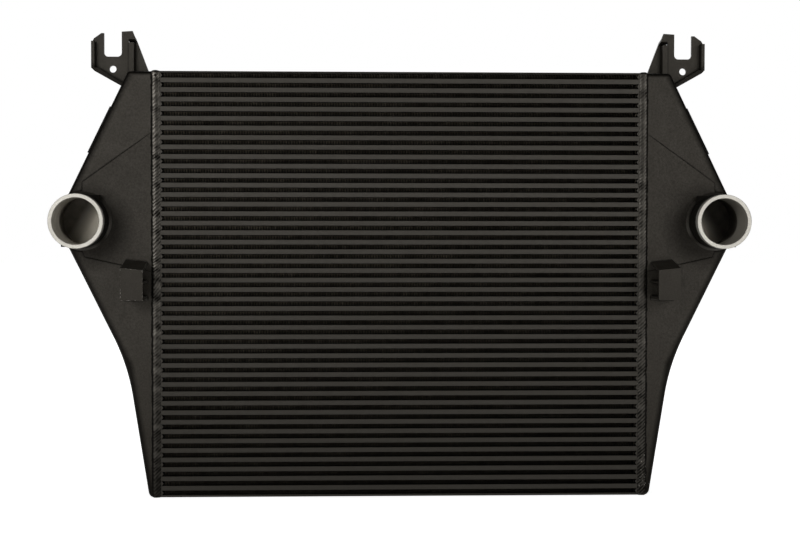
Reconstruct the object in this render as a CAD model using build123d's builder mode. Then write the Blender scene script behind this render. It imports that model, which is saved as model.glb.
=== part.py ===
from build123d import *
import os
from math import atan2, cos, degrees, hypot, sin, tan

# Bar-and-plate charge-air cooler with a cast tank at each end.
# Frame: +X to the right seen from the pipe side, +Y away from the pipe side, +Z up.
# The origin is the middle of the footprint box, at the height of the tanks' feet.
# All sizes are in millimetres.

# ---------------------------------------------------------------- core
charge_rows = 44               # closed passages that carry the hot charge air from tank to tank
charge_bar_height = 6.0        # long bars that close a charge passage at the front and at the rear
charge_bar_width = 8.0
separator_thickness = 0.5      # brazed sheets between neighbouring rows
fin_height = 6.3               # open rows that the cooling air blows through
end_plate_thickness = 2.8      # plates that close the core above and below
core_half_width = 343.1
core_depth = 64.0
end_bar_width = 7.5            # short bars that close a fin row beside the tanks
end_bar_nose = 2.5             # how far their pointed side reaches into the row
fin_folds = 3                  # folds drawn per strip; the real sheet is folded every 1.7 mm
fin_sheet_thickness = 0.3
fin_setback = 1.5              # from the core's faces to the fins
turbulator_folds = 2
turbulator_sheet_thickness = 0.5

# ---------------------------------------------------------------- tanks
# Widths are counted outwards from the end of the core.
tank_shoulder_width = 38.1     # where the upper slanted wall meets the top
tank_apex_width = 140.8        # where the two slanted walls would meet, level with the pipe
tank_knee_width = 40.1         # where the lower slanted wall turns towards the foot
tank_foot_width = 10.1
tank_knee_drop = 202.7         # below the pipe's axis
tank_knee_radius = 290.0
tank_shoulder_radius = 6.0
tank_foot_radius = 9.0
tank_edge_radius = 5.5         # rounding of the casting's edges round the front
tank_rear_chamfer = 4.0        # bevel of its edges round the back
tank_wall = 4.0
tank_taper = 5.0               # how far the front wall has fallen back at the pipe's axis
tank_foot_drop = 1.2           # how far the tanks reach below the core
tank_lobe_radius = 40.0        # round end of the tank behind the pipe
tank_lobe_blend = 8.0
tank_chamber_overrun = 1.0     # the hollow is drawn this far past the open side

# Flat field round the pipe, level with the core's face. Heights are from the pipe's axis.
field_top_at_core = 127.5
field_top_at_side = 54.5
field_bottom_at_side = -42.0
field_corner_width = 99.0
field_corner_height = -50.0
field_bottom_at_core = -71.8
field_depth = 6.0

# Low pad on the upper slanted wall.
pad_height = 2.2
pad_length = 72.0
pad_depth = 40.0
pad_above_axis = 127.5

# ---------------------------------------------------------------- pipes
pipe_radius = 37.5             # for a 75 mm hose
pipe_wall = 5.4
pipe_reach = 59.0              # from the core's face to the open end
pipe_inset = 39.0              # from the tank's apex to the pipe's axis
pipe_drop = 209.3              # pipe axis below the top of the core
pipe_root_step = 0.4           # the cast root is this much larger in radius than the turned hose seat
pipe_boss_radius = 42.0
pipe_boss_depth = 12.0
pipe_weld_leg = 3.4

# Two square-cornered lugs on opposite sides of each pipe.
lug_half_width = 27.5
lug_half_height = 36.0
lug_front = 12.0               # distance of the lug's front from the core's face
lug_gap = 0.4                  # clearance between lug and weld

# ---------------------------------------------------------------- hook brackets
# Widths are counted from the end of the core, heights from the top of the tank.
hook_front = 43.5              # main plate behind the core's face
hook_thickness = 5.0
hook_web_setback = 10.0        # the web lies deeper than the main plate
hook_slot_offset = 64.2        # centre of slot and bolt hole
hook_slot_width = 25.0
hook_slot_bottom = 23.8
hook_slot_corner = 6.0
hook_hole_radius = 4.9
hook_hole_height = 6.1
hook_outer_width = 93.4
hook_outer_top = 45.0
hook_outer_bottom = 7.2
hook_corner_cut = 4.5
hook_under_slope = 0.56        # fall of the lower edge towards the tank
hook_prong_height = 57.1
hook_prong_flat = 3.8
hook_prong_fall = 7.5
hook_prong_side = 2.5
hook_peak_width = 36.4
hook_peak_height = 60.3
hook_peak_fall = 1.0
hook_lean = 0.379              # slant of the inner edge
hook_rim_width = 4.5
hook_rim_height = 11.0         # how far the rim stands in front of the plate
hook_rib_offset = 34.7         # inner side of the step wall
hook_rib_width = 7.2
hook_rib_height = 44.0
hook_rib_proud = 2.0
hook_step_rise = 5.0           # the sloped step between web and main plate
hook_weld_leg = 4.0
hook_weld_margin = 6.0         # from the tank's shoulder to the beads on the slanted wall

# ---------------------------------------------------------------- stop brackets
# Widths are counted from the end of the core, heights from the pipe's axis.
stop_offset = 11.5
stop_width = 30.5
stop_reach = 56.0
stop_bottom = -108.5
stop_top_front = -67.0
stop_top_rise = 10.0           # the top climbs towards the tank
stop_top_lean = 3.0            # and towards the outside
stop_wall = 3.5
stop_shelf_height = -84.5
stop_shelf_thickness = 2.5
stop_root = 2.0                # how far its walls could run past the core's face; the tank trims them
stop_weld_leg = 3.0

# ---------------------------------------------------------------- seam welds
seam_on_core = 7.5
seam_on_tank = 6.0
seam_height = 1.8
seam_crown_width = 6.5         # the flat top of the bead
seam_root = 2.0                # how deep the bead fills the rounded edges of the tank
seam_floor_gap = 0.3

# ---------------------------------------------------------------- worked out from the sizes above
row_pitch = fin_height + charge_bar_height + 2 * separator_thickness
fin_rows = charge_rows + 1
core_bottom_z = tank_foot_drop
core_height = charge_rows * row_pitch + fin_height + 2 * end_plate_thickness
core_top_z = core_bottom_z + core_height
core_mid_z = (core_bottom_z + core_top_z) / 2
core_width = 2 * core_half_width

overall_depth = pipe_reach + core_depth + seam_height
core_front_y = pipe_reach - overall_depth / 2
core_rear_y = core_front_y + core_depth
core_mid_y = (core_front_y + core_rear_y) / 2

pipe_offset = tank_apex_width - pipe_inset
pipe_x = core_half_width + pipe_offset
pipe_z = core_top_z - pipe_drop
pipe_bore_radius = pipe_radius - pipe_wall
pipe_root_radius = pipe_radius + pipe_root_step
pipe_axis = Axis((pipe_x, core_front_y, pipe_z), (0, 1, 0))

apex_x = core_half_width + tank_apex_width
shoulder_x = core_half_width + tank_shoulder_width
wall_angle = atan2(apex_x - shoulder_x, pipe_drop)      # lean of the upper slanted wall
taper_angle = atan2(tank_taper, pipe_offset)


def standing(y):
    """Upright plane at this depth, drawn as (x, height); its normal points to the pipe side."""
    return Plane.XZ.offset(-y)


def upper_wall_x(z):
    """Outside of the upper slanted wall at this height."""
    return shoulder_x + (core_top_z - z) * tan(wall_angle)


os.makedirs("parts", exist_ok=True)


def save(piece, name):
    piece.part.label = name
    export_step(piece.part, f"parts/{name}.step")


# ================================================================ core
with BuildPart() as core_top_plate:
    with Locations((0, core_mid_y, core_top_z - end_plate_thickness / 2)):
        Box(core_width, core_depth, end_plate_thickness)

with BuildPart() as core_bottom_plate:
    with Locations((0, core_mid_y, core_bottom_z + end_plate_thickness / 2)):
        Box(core_width, core_depth, end_plate_thickness)

# Two sheets per charge passage, one under it and one over it.
with BuildPart() as separator_plates:
    with BuildSketch(standing(core_rear_y)):
        for side in (-1, 1):
            sheet_z = core_mid_z + side * (charge_bar_height + separator_thickness) / 2
            with Locations((0, sheet_z)):
                with GridLocations(core_width, row_pitch, 1, charge_rows):
                    Rectangle(core_width, separator_thickness)
    extrude(amount=core_depth)

with BuildPart() as front_charge_bars:
    with BuildSketch(standing(core_front_y)):
        with Locations((0, core_mid_z)):
            with GridLocations(core_width, row_pitch, 1, charge_rows):
                Rectangle(core_width, charge_bar_height)
    extrude(amount=-charge_bar_width)

with BuildPart() as rear_charge_bars:
    mirror(front_charge_bars.part, about=Plane.XZ.offset(-core_mid_y))

# The end bar's section: square against the tank, pointed towards the fins.
end_bar_inner = core_half_width - end_bar_width
end_bar_section = [
    (core_half_width, -fin_height / 2),
    (core_half_width, fin_height / 2),
    (end_bar_inner, fin_height / 2),
    (end_bar_inner - end_bar_nose, 0),
    (end_bar_inner, -fin_height / 2),
]

with BuildPart() as right_end_bars:
    with BuildSketch(standing(core_rear_y)):
        with Locations((0, core_mid_z)):
            with GridLocations(core_width, row_pitch, 1, fin_rows):
                Polygon(*end_bar_section, align=None)
    extrude(amount=core_depth)

with BuildPart() as left_end_bars:
    mirror(right_end_bars.part, about=Plane.YZ)


def folded_section(width, height, sheet, folds):
    """Closed outline of a zigzag sheet that reaches from the bottom to the top of its row."""
    step = width / folds
    stations = [(-width / 2 + i * step, i % 2) for i in range(folds + 1)]
    upper = [(x, -height / 2 + sheet + up * (height - sheet)) for x, up in stations]
    lower = [(x, z - sheet) for x, z in upper]
    return upper + lower[::-1]


# Cooling fins: one folded strip per open row, with its channels running from front to rear.
fin_strip_width = 2 * (end_bar_inner - end_bar_nose)

fin_section = folded_section(fin_strip_width, fin_height, fin_sheet_thickness, fin_folds)

with BuildPart() as cooling_fins:
    with BuildSketch(standing(core_rear_y - fin_setback)):
        with Locations((0, core_mid_z)):
            with GridLocations(core_width, row_pitch, 1, fin_rows):
                Polygon(*fin_section, align=None)
    extrude(amount=core_depth - 2 * fin_setback)

# Turbulators: folded sheets inside the charge passages, with channels running from tank to tank.
turbulator_section = folded_section(
    core_depth - 2 * charge_bar_width,
    charge_bar_height,
    turbulator_sheet_thickness,
    turbulator_folds,
)

with BuildPart() as charge_turbulators:
    with BuildSketch(Plane.YZ.offset(-core_half_width)):
        with Locations((core_mid_y, core_mid_z)):
            with GridLocations(core_depth, row_pitch, 1, charge_rows):
                Polygon(*turbulator_section, align=None)
    extrude(amount=core_width)

# ================================================================ tanks
foot_x = core_half_width + tank_foot_width
knee_x = core_half_width + tank_knee_width
knee_z = pipe_z - tank_knee_drop

# Front view of the casting, with the round lobe that carries the pipe.
with BuildSketch() as tank_outline:
    Polygon(
        (core_half_width, 0),
        (foot_x, 0),
        (knee_x, knee_z),
        (apex_x, pipe_z),
        (shoulder_x, core_top_z),
        (core_half_width, core_top_z),
        align=None,
    )
    fillet(tank_outline.vertices().sort_by_distance((knee_x, knee_z))[0], radius=tank_knee_radius)
    for corner, radius in (((foot_x, 0), tank_foot_radius), ((shoulder_x, core_top_z), tank_shoulder_radius)):
        fillet(tank_outline.vertices().sort_by_distance(corner)[0], radius=radius)
    with Locations((pipe_x, pipe_z)):
        Circle(tank_lobe_radius)
    lobe_roots = [
        v
        for v in tank_outline.vertices()
        if v.X < apex_x and abs(hypot(v.X - pipe_x, v.Y - pipe_z) - tank_lobe_radius) < 0.01
    ]
    fillet(lobe_roots, radius=tank_lobe_blend)

# The front wall leans back from the end of the core, so the tank is thinner at its outer side.
tank_front_plane = Plane(
    origin=(core_half_width, core_front_y, 0),
    x_dir=(0, 0, 1),
    z_dir=(sin(taper_angle), -cos(taper_angle), 0),
)

with BuildSketch() as chamber_outline:
    add(tank_outline.sketch)
    offset(amount=-tank_wall)
    with Locations((core_half_width, core_top_z / 2)):
        Rectangle(2 * (tank_wall + tank_chamber_overrun), core_top_z - 2 * tank_wall)

with BuildPart() as tank_chamber:
    with BuildSketch(standing(core_rear_y - tank_wall)):
        add(chamber_outline.sketch)
    extrude(amount=core_depth)
    split(bisect_by=tank_front_plane.offset(-tank_wall), keep=Keep.BOTTOM)

with BuildPart() as right_tank:
    with BuildSketch(standing(core_rear_y)):
        add(tank_outline.sketch)
    extrude(amount=core_depth)
    split(bisect_by=tank_front_plane, keep=Keep.BOTTOM)
    front_rim = right_tank.faces().sort_by(Axis.Y)[0].edges()
    front_rim = front_rim.filter_by(lambda edge: edge.center().X > core_half_width + tank_chamber_overrun)
    fillet(front_rim, radius=tank_edge_radius)
    rear_rim = right_tank.faces().sort_by(Axis.Y)[-1].edges()
    rear_rim = rear_rim.filter_by(lambda edge: edge.center().X > core_half_width + tank_chamber_overrun)
    chamfer(rear_rim, length=tank_rear_chamfer)
    with BuildSketch(standing(core_front_y)):
        Polygon(
            (core_half_width, pipe_z + field_top_at_core),
            (pipe_x, pipe_z + field_top_at_side),
            (pipe_x, pipe_z + field_bottom_at_side),
            (core_half_width + field_corner_width, pipe_z + field_corner_height),
            (core_half_width, pipe_z + field_bottom_at_core),
            align=None,
        )
    extrude(amount=-field_depth)
    with BuildSketch(standing(core_front_y)):
        with Locations((pipe_x, pipe_z)):
            Circle(pipe_boss_radius)
    extrude(amount=-pipe_boss_depth)
    with BuildSketch(standing(core_mid_y)):
        pad_z = pipe_z + pad_above_axis
        with Locations((upper_wall_x(pad_z), pad_z)):
            Rectangle(2 * pad_height, pad_length, rotation=degrees(wall_angle))
    extrude(amount=pad_depth / 2, both=True)
    add(tank_chamber.part, mode=Mode.SUBTRACT)
    with BuildSketch(standing(core_front_y)):
        with Locations((pipe_x, pipe_z)):
            Circle(pipe_bore_radius)
    extrude(amount=-core_depth / 2, mode=Mode.SUBTRACT)

with BuildPart() as left_tank:
    mirror(right_tank.part, about=Plane.YZ)

# ================================================================ pipes
# Turned hose seat in front of the lugs, slightly larger cast root behind their fronts.
with BuildPart() as right_pipe:
    for radius, reach in ((pipe_radius, pipe_reach), (pipe_root_radius, lug_front)):
        with BuildSketch(standing(core_front_y)):
            with Locations((pipe_x, pipe_z)):
                Circle(radius)
        extrude(amount=reach)
    lug_back = pipe_weld_leg + lug_gap
    with BuildSketch(standing(core_front_y - lug_back)):
        for side in (-1, 1):
            with Locations((pipe_x + side * lug_half_width / 2, pipe_z - side * lug_half_height / 2)):
                Rectangle(lug_half_width, lug_half_height)
    extrude(amount=lug_front - lug_back)
    with BuildSketch(standing(core_front_y)):
        with Locations((pipe_x, pipe_z)):
            Circle(pipe_bore_radius)
    extrude(amount=pipe_reach, mode=Mode.SUBTRACT)

with BuildPart() as left_pipe:
    mirror(right_pipe.part, about=Plane.YZ)

# Fillet weld at the root of the pipe.
with BuildPart() as right_pipe_weld:
    with BuildSketch(Plane.XY.offset(pipe_z)):
        Polygon(
            (pipe_x + pipe_root_radius, core_front_y),
            (pipe_x + pipe_root_radius + pipe_weld_leg, core_front_y),
            (pipe_x + pipe_root_radius, core_front_y - pipe_weld_leg),
            align=None,
        )
    revolve(axis=pipe_axis)

# ================================================================ hook brackets
hook_front_y = core_front_y + hook_front
hook_rear_y = hook_front_y + hook_thickness
web_front_y = hook_front_y + hook_web_setback
web_rear_y = web_front_y + hook_thickness
slot_x = core_half_width + hook_slot_offset
slot_inner_x = slot_x - hook_slot_width / 2
slot_outer_x = slot_x + hook_slot_width / 2
hook_outer_x = core_half_width + hook_outer_width
hook_peak_x = core_half_width + hook_peak_width
hook_peak_z = core_top_z + hook_peak_height
prong_top_z = core_top_z + hook_prong_height
rib_inner_x = core_half_width + hook_rib_offset
rib_outer_x = rib_inner_x + hook_rib_width
rib_top_z = core_top_z + hook_rib_height

# The lower edge falls towards the tank and runs on inside its outline, where it is trimmed.
under_edge_x = hook_outer_x - hook_corner_cut
under_edge_z = core_top_z + hook_outer_bottom - hook_corner_cut
under_edge_end_z = under_edge_z - (under_edge_x - shoulder_x) * hook_under_slope
inner_edge_foot_x = hook_peak_x - hook_peak_height * hook_lean

with BuildSketch() as hook_outline:
    Polygon(
        (inner_edge_foot_x, core_top_z),
        (hook_peak_x, hook_peak_z),
        (slot_inner_x, hook_peak_z - hook_peak_fall),
        (slot_inner_x, prong_top_z),
        (slot_outer_x, prong_top_z),
        (slot_outer_x + hook_prong_flat, prong_top_z),
        (hook_outer_x - hook_prong_side, prong_top_z - hook_prong_fall),
        (hook_outer_x, core_top_z + hook_outer_top),
        (hook_outer_x, core_top_z + hook_outer_bottom),
        (under_edge_x, under_edge_z),
        (shoulder_x, under_edge_end_z),
        align=None,
    )

# U-slot, open at the top, and the round bolt hole under it.
with BuildSketch() as hook_openings:
    with Locations((slot_x, core_top_z + hook_slot_bottom)):
        Rectangle(hook_slot_width, 2 * hook_prong_height, align=(Align.CENTER, Align.MIN))
    fillet(hook_openings.vertices().group_by(Axis.Y)[0], radius=hook_slot_corner)
    with Locations((slot_x, core_top_z + hook_hole_height)):
        Circle(hook_hole_radius)

with BuildSketch() as hook_plate_outline:
    add(hook_outline.sketch)
    add(hook_openings.sketch, mode=Mode.SUBTRACT)
    with Locations((rib_outer_x, core_mid_z)):
        Rectangle(core_width, core_width * 2, align=(Align.MAX, Align.CENTER), mode=Mode.SUBTRACT)

# Rim along the outer edge and along the lower edge.
with BuildSketch() as hook_rim_outline:
    add(hook_outline.sketch)
    Polygon(
        (hook_outer_x - hook_rim_width, hook_peak_z),
        (hook_outer_x - hook_rim_width, core_top_z + hook_outer_bottom),
        (under_edge_x - hook_rim_width, under_edge_z + hook_rim_width),
        (shoulder_x, under_edge_end_z + hook_rim_width),
        (shoulder_x, hook_peak_z),
        align=None,
        mode=Mode.SUBTRACT,
    )
    with Locations((hook_outer_x, core_top_z + hook_outer_top)):
        Rectangle(core_width, core_width, align=(Align.CENTER, Align.MIN), mode=Mode.SUBTRACT)
    with Locations((shoulder_x, core_top_z)):
        Rectangle(core_width, core_width, align=(Align.MAX, Align.CENTER), mode=Mode.SUBTRACT)

with BuildSketch() as hook_rib_outline:
    with Locations((rib_inner_x, rib_top_z)):
        Rectangle(hook_rib_width, rib_top_z - under_edge_end_z, align=(Align.MIN, Align.MAX))
    add(hook_outline.sketch, mode=Mode.INTERSECT)

# The web on the core's side lies deeper; a sloped step joins it to the main plate above.
with BuildPart() as hook_web:
    with BuildSketch(standing(web_rear_y)):
        add(hook_outline.sketch)
        add(tank_outline.sketch, mode=Mode.SUBTRACT)
    extrude(amount=web_rear_y - hook_front_y)
    with BuildSketch(Plane.YZ.offset(core_half_width)):
        Polygon(
            (web_front_y, core_mid_z),
            (web_rear_y, core_mid_z),
            (web_rear_y, rib_top_z + hook_thickness),
            (hook_rear_y, rib_top_z + hook_step_rise + hook_thickness),
            (hook_rear_y, hook_peak_z),
            (hook_front_y, hook_peak_z),
            (hook_front_y, rib_top_z + hook_step_rise),
            (web_front_y, rib_top_z),
            align=None,
        )
    extrude(amount=rib_outer_x - core_half_width, mode=Mode.INTERSECT)

with BuildPart() as right_hook_bracket:
    for outline, front_y, rear_y in (
        (hook_plate_outline, hook_front_y, hook_rear_y),
        (hook_rim_outline, hook_front_y - hook_rim_height, hook_front_y),
        (hook_rib_outline, hook_front_y - hook_rib_proud, web_rear_y),
    ):
        with BuildSketch(standing(rear_y)):
            add(outline.sketch)
            add(tank_outline.sketch, mode=Mode.SUBTRACT)
        extrude(amount=rear_y - front_y)
    add(hook_web.part)

with BuildPart() as left_hook_bracket:
    mirror(right_hook_bracket.part, about=Plane.YZ)

# Fillet beads: in front of and behind the plate on the slanted wall, and before the web on top.
edge_meets_wall = (core_top_z - under_edge_z + (under_edge_x - shoulder_x) * hook_under_slope) / (
    1 + hook_under_slope * tan(wall_angle)
)
wall_bead_start = (
    shoulder_x + hook_weld_margin * sin(wall_angle),
    core_top_z - hook_weld_margin * cos(wall_angle),
)

with BuildPart() as right_hook_weld:
    for bead_y, leg in ((hook_front_y, hook_weld_leg), (hook_rear_y, -hook_weld_leg)):
        bead_plane = Plane(
            origin=(wall_bead_start[0], bead_y, wall_bead_start[1]),
            x_dir=(cos(wall_angle), 0, sin(wall_angle)),
            z_dir=(sin(wall_angle), 0, -cos(wall_angle)),
        )
        with BuildSketch(bead_plane):
            Polygon((0, 0), (hook_weld_leg, 0), (0, leg), align=None)
        extrude(amount=edge_meets_wall / cos(wall_angle) - hook_weld_margin)
    with BuildSketch(standing(web_front_y)):
        add(hook_outline.sketch)
    extrude(amount=hook_web_setback + hook_weld_leg, mode=Mode.INTERSECT)
    with BuildSketch(Plane.YZ.offset(inner_edge_foot_x)):
        Polygon(
            (web_front_y, core_top_z),
            (web_front_y - hook_weld_leg, core_top_z),
            (web_front_y, core_top_z + hook_weld_leg),
            align=None,
        )
    extrude(amount=rib_inner_x - inner_edge_foot_x)
    add(right_hook_bracket.part, mode=Mode.SUBTRACT)

# ================================================================ stop brackets
stop_inner_x = core_half_width + stop_offset
stop_outer_x = stop_inner_x + stop_width
stop_front_y = core_front_y - stop_reach
stop_rear_y = core_front_y + stop_root
stop_bottom_z = pipe_z + stop_bottom
stop_shelf_z = pipe_z + stop_shelf_height
stop_top_plane = Plane(
    origin=(stop_inner_x, stop_front_y, pipe_z + stop_top_front),
    z_dir=(-stop_top_lean / stop_width, -stop_top_rise / stop_reach, 1),
)

# Hollow of the bracket: open towards the core, with a shelf left standing across it.
with BuildPart() as stop_hollow:
    with Locations((stop_inner_x - stop_wall, stop_front_y + stop_wall, stop_bottom_z + stop_wall)):
        Box(stop_width, stop_reach, -2 * stop_bottom, align=(Align.MIN, Align.MIN, Align.MIN))
    split(bisect_by=stop_top_plane.offset(-stop_wall), keep=Keep.BOTTOM)
    with Locations((stop_inner_x, stop_front_y, stop_shelf_z)):
        Box(2 * stop_width, 3 * stop_reach, stop_shelf_thickness, mode=Mode.SUBTRACT)

with BuildPart() as right_stop_bracket:
    with Locations((stop_inner_x, stop_front_y, stop_bottom_z)):
        Box(
            stop_width,
            stop_rear_y - stop_front_y,
            -2 * stop_bottom,
            align=(Align.MIN, Align.MIN, Align.MIN),
        )
    split(bisect_by=stop_top_plane, keep=Keep.BOTTOM)
    add(stop_hollow.part, mode=Mode.SUBTRACT)
    add(right_tank.part, mode=Mode.SUBTRACT)

with BuildPart() as left_stop_bracket:
    mirror(right_stop_bracket.part, about=Plane.YZ)

# One bead under the bracket that turns up along its outer side.
with BuildPart() as right_stop_weld:
    with BuildSketch(Plane.YZ.offset(stop_inner_x)):
        Polygon(
            (stop_rear_y, stop_bottom_z),
            (core_front_y - stop_weld_leg, stop_bottom_z),
            (core_front_y, stop_bottom_z - stop_weld_leg),
            (stop_rear_y, stop_bottom_z - stop_weld_leg),
            align=None,
        )
    extrude(amount=stop_width + stop_weld_leg)
    with BuildSketch(Plane.XY.offset(stop_bottom_z)):
        Polygon(
            (stop_outer_x, stop_rear_y),
            (stop_outer_x, core_front_y - stop_weld_leg),
            (stop_outer_x + stop_weld_leg, core_front_y),
            (stop_outer_x + stop_weld_leg, stop_rear_y),
            align=None,
        )
    extrude(amount=stop_shelf_z - stop_bottom_z)
    add(right_tank.part, mode=Mode.SUBTRACT)

# The beads that hold the pipe and the brackets on one tank.
with BuildPart() as right_fitting_welds:
    add(right_pipe_weld.part)
    add(right_hook_weld.part)
    add(right_stop_weld.part)

with BuildPart() as left_fitting_welds:
    mirror(right_fitting_welds.part, about=Plane.YZ)

# ================================================================ seam welds
seam_start_x = core_half_width - seam_on_core
seam_end_x = core_half_width + seam_on_tank
seam_crown_x = (seam_start_x + seam_end_x - seam_crown_width) / 2

# Section of the bead: crowned over the seam, rooted on the tank's half only.
with BuildSketch() as seam_section:
    Polygon(
        (seam_start_x, 0),
        (seam_crown_x, seam_height),
        (seam_crown_x + seam_crown_width, seam_height),
        (seam_end_x, 0),
        (seam_end_x, -seam_root),
        (core_half_width, -seam_root),
        (core_half_width, 0),
        align=None,
    )

seam_top_z = core_top_z + seam_height / 2
seam_front = Plane(origin=(0, core_front_y, seam_top_z), x_dir=(1, 0, 0), z_dir=(0, 0, -1))
seam_rear = Plane(origin=(0, core_rear_y, seam_floor_gap), x_dir=(1, 0, 0), z_dir=(0, 0, 1))
seam_top = Plane(origin=(0, core_rear_y, core_top_z), x_dir=(1, 0, 0), z_dir=(0, -1, 0))

with BuildPart() as right_tank_weld:
    for place, length in (
        (seam_front, seam_top_z - seam_floor_gap),
        (seam_rear, seam_top_z - seam_floor_gap),
        (seam_top, core_depth),
    ):
        with BuildSketch(place):
            add(seam_section.sketch)
        extrude(amount=length)
    with BuildSketch(standing(core_rear_y)):
        Polygon(
            (seam_start_x, core_bottom_z),
            (core_half_width, core_bottom_z),
            (core_half_width, seam_floor_gap),
            align=None,
        )
    extrude(amount=core_depth)
    add(right_tank.part, mode=Mode.SUBTRACT)

with BuildPart() as left_tank_weld:
    mirror(right_tank_weld.part, about=Plane.YZ)

# ================================================================ export
save(core_top_plate, "core_top_plate")
save(core_bottom_plate, "core_bottom_plate")
save(separator_plates, "separator_plates")
save(front_charge_bars, "front_charge_bars")
save(rear_charge_bars, "rear_charge_bars")
save(left_end_bars, "left_end_bars")
save(right_end_bars, "right_end_bars")
save(cooling_fins, "cooling_fins")
save(charge_turbulators, "charge_turbulators")
save(left_tank, "left_tank")
save(right_tank, "right_tank")
save(left_tank_weld, "left_tank_weld")
save(right_tank_weld, "right_tank_weld")
save(left_fitting_welds, "left_fitting_welds")
save(right_fitting_welds, "right_fitting_welds")
save(left_pipe, "left_pipe")
save(right_pipe, "right_pipe")
save(left_hook_bracket, "left_hook_bracket")
save(right_hook_bracket, "right_hook_bracket")
save(left_stop_bracket, "left_stop_bracket")
save(right_stop_bracket, "right_stop_bracket")
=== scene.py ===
from functools import reduce
from math import cos, exp, floor, hypot, pi, sin

import bpy
from mathutils import Matrix, Vector, noise


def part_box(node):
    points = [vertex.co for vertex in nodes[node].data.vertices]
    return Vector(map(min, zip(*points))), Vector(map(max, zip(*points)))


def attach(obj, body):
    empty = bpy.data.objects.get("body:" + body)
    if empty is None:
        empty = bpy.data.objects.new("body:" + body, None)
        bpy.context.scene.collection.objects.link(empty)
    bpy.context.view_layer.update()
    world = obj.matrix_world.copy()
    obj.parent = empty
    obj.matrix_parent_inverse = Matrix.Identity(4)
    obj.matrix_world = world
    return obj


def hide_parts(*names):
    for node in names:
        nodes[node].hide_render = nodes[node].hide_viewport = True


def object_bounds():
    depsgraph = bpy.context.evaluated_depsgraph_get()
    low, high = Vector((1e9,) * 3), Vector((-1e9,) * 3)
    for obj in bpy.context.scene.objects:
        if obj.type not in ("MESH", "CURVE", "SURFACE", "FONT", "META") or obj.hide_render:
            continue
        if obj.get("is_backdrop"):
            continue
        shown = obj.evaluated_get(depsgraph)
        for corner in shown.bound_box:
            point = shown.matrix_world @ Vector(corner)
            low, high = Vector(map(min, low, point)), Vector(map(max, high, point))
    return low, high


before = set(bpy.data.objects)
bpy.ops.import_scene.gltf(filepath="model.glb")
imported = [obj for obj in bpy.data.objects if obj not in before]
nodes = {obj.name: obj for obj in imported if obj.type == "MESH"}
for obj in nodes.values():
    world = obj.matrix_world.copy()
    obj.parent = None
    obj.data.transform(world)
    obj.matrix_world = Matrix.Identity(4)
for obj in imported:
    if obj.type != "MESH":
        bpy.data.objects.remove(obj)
cad_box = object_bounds()

MM = 0.001
LEFT, RIGHT = -1, 1            # sides along X

# ---------------------------------------------------------------- places read from the frame
core_low, core_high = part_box("separator_plates")
front_y = core_low[1]
rear_y = core_high[1]
middle_y = (front_y + rear_y) / 2
core_end_x = core_high[0]
bottom_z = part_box("core_bottom_plate")[0][2]
top_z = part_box("core_top_plate")[1][2]
fins_low, fins_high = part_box("cooling_fins")
pipe_low, pipe_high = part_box("right_pipe")
pipe_open_y = pipe_low[1]
pipe_x = (pipe_low[0] + pipe_high[0]) / 2
pipe_z = (pipe_low[2] + pipe_high[2]) / 2
weld_low, weld_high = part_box("right_tank_weld")

# Corners of the right tank's outline and ends of the right hook's lower rim, as (X, Z).
TANK_SHOULDER = (core_end_x + 0.0381, top_z)
TANK_APEX = (core_end_x + 0.1408, pipe_z)
TANK_KNEE = (core_end_x + 0.0401, pipe_z - 0.2027)
TANK_FOOT = (core_end_x + 0.0101, 0.0)
HOOK_RIM_OUT = (core_end_x + 0.0860, top_z + 0.0060)
HOOK_RIM_IN = (core_end_x + 0.0445, top_z - 0.0190)

# ---------------------------------------------------------------- sizes of the fins
FIN_ROWS = 45
FIN_ROWS_IN_FIRST_PIECE = 23   # the rows are shared between two pieces
FIN_ROW_HEIGHT = 6.3 * MM
ROW_PITCH = (fins_high[2] - fins_low[2] - FIN_ROW_HEIGHT) / (FIN_ROWS - 1)
FIN_PITCH = 3.75 * MM          # two walls of the folded strip
FIN_WAVE_RUN = 15 * MM         # the channels change direction after this much depth
FIN_WAVE_SHIFT = 5 * MM        # and step this far sideways each time
FIN_JITTER = 0.2 * MM          # each fold strays this far at most

# ---------------------------------------------------------------- sizes of the seam beads
BEAD_SPACING = 0.55 * MM       # between two sections of a bead
BEAD_CORNER = 2.5 * MM         # rounding where it turns round the core's corners
BEAD_CORNER_STEPS = 6
BEAD_WANDER = 1.3 * MM         # how far its edges stray inwards
BEAD_SKIRT = 1.9 * MM          # how deep its edge on the tank is drawn into the casting
BEAD_SINK = 0.4 * MM           # how deep its edge on the core lies
BEAD_LIP = 0.3 * MM            # how deep it meets the casting, just before the skirt
BEAD_FLOOR_GAP = 0.3 * MM
RIPPLE_PITCH = 5.0 * MM
RIPPLE_HEIGHT = 0.90 * MM
RIPPLE_SLOPE = 0.85            # how far a ripple climbs along the loop for its way across
RIPPLE_BEND = 0.80             # the left bead's ripples turn back at this place across it
RIPPLE_SKEW = 0.7              # below 1 a ripple rises faster than it falls
RIPPLE_DRIFT = 1.1             # how many pitches the ripples come early or late
RIPPLE_CALM = 0.3              # least strength of the left bead's ripples
RIPPLE_BY_PIPE = 0.35          # and what is added level with the pipe
BY_PIPE_REACH = 0.12           # falling off over this height
SMOOTH_RIPPLE = 0.35           # least strength of the right bead's ripples
SMOOTH_RIPPLE_FOOT = 0.25      # and what is added at its foot
SMOOTH_RIPPLE_REACH = 0.6 * top_z     # falling off up to this height
LUMP_SHARE = 0.14              # share of a bead's height that comes and goes

# Lengths along a bead over which something changes.
DRIFT_RUN = 30 * MM            # how late the ripples come
LUMP_RUN = 15 * MM             # the height
GLOSS_RUN = 13 * MM            # the gloss
CORE_EDGE_RUN = 9 * MM         # the place of the edge on the core
TANK_EDGE_RUN = 7 * MM         # and of the one on the tank
VALLEY_SHADE_RUN = 6 * MM              # how strong the painted shade between ripples is
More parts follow.
